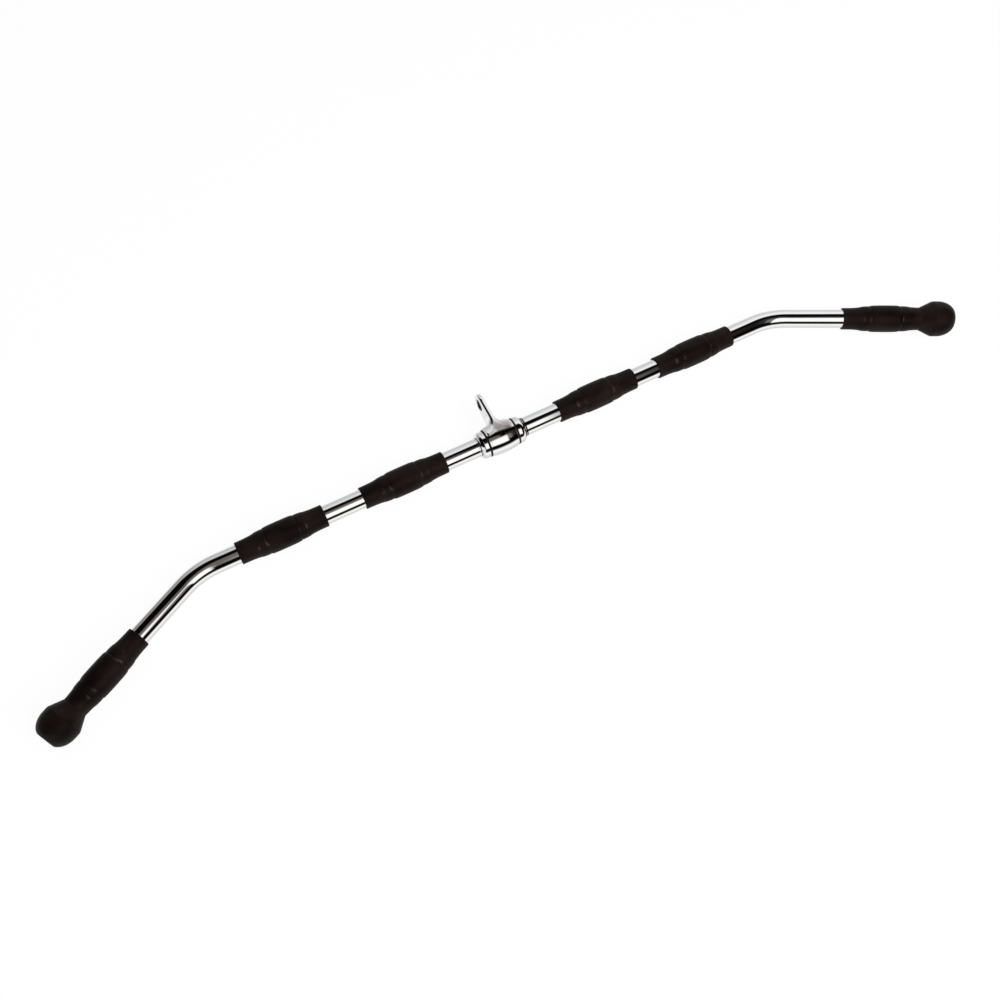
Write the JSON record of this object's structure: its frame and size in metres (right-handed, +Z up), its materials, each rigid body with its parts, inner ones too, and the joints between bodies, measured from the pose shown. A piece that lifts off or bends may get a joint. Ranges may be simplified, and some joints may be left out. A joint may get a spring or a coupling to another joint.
{
  "type": "lat pulldown bar",
  "caption": "Wide bent bar for a cable machine, with swollen rubber grips, round ended outer grips and a revolving centre sleeve whose lug takes the cable's clip.",
  "frame": {"origin": "centre of the bounding box, on the surface the bar lies on", "axes": "+X along the bar to its right end, +Y to the side the lug points to, +Z up from the surface"},
  "size_m": [1.3192, 0.2038, 0.0489],
  "materials": {
    "bar_chrome": "polished plating on steel tube",
    "hanger_chrome": "polished plating on cast and turned steel",
    "grip_rubber": "matt moulded",
    "plug_plastic": "moulded",
    "washer_nylon": "moulded",
    "bush_bronze": "sintered",
    "screw_steel": "black oxide"
  },
  "bodies": {
    "bar": {"bar_tube": "bar_chrome", "grip_outer_left": "grip_rubber", "grip_inner_left": "grip_rubber", "grip_inner_right": "grip_rubber", "grip_outer_right": "grip_rubber", "end_grip_left": "grip_rubber", "end_grip_right": "grip_rubber", "end_plug_left": "plug_plastic", "end_plug_right": "plug_plastic", "thrust_washer_left": "washer_nylon", "thrust_washer_right": "washer_nylon", "stop_collar_left": "hanger_chrome", "stop_collar_right": "hanger_chrome", "collar_screw_left": "screw_steel", "collar_screw_right": "screw_steel", "retaining_ring_left": "hanger_chrome", "retaining_ring_right": "hanger_chrome"},
    "hanger": {"hanger_sleeve": "hanger_chrome", "sleeve_bush_left": "bush_bronze", "sleeve_bush_right": "bush_bronze"}
  },
  "joints": [
    {"name": "hanger_spin", "type": "hinge", "parent": "bar", "child": "hanger", "pos_m": [0, 0.0347, 0.02094], "axis": [1, 0, 0], "continuous": true}
  ]
}
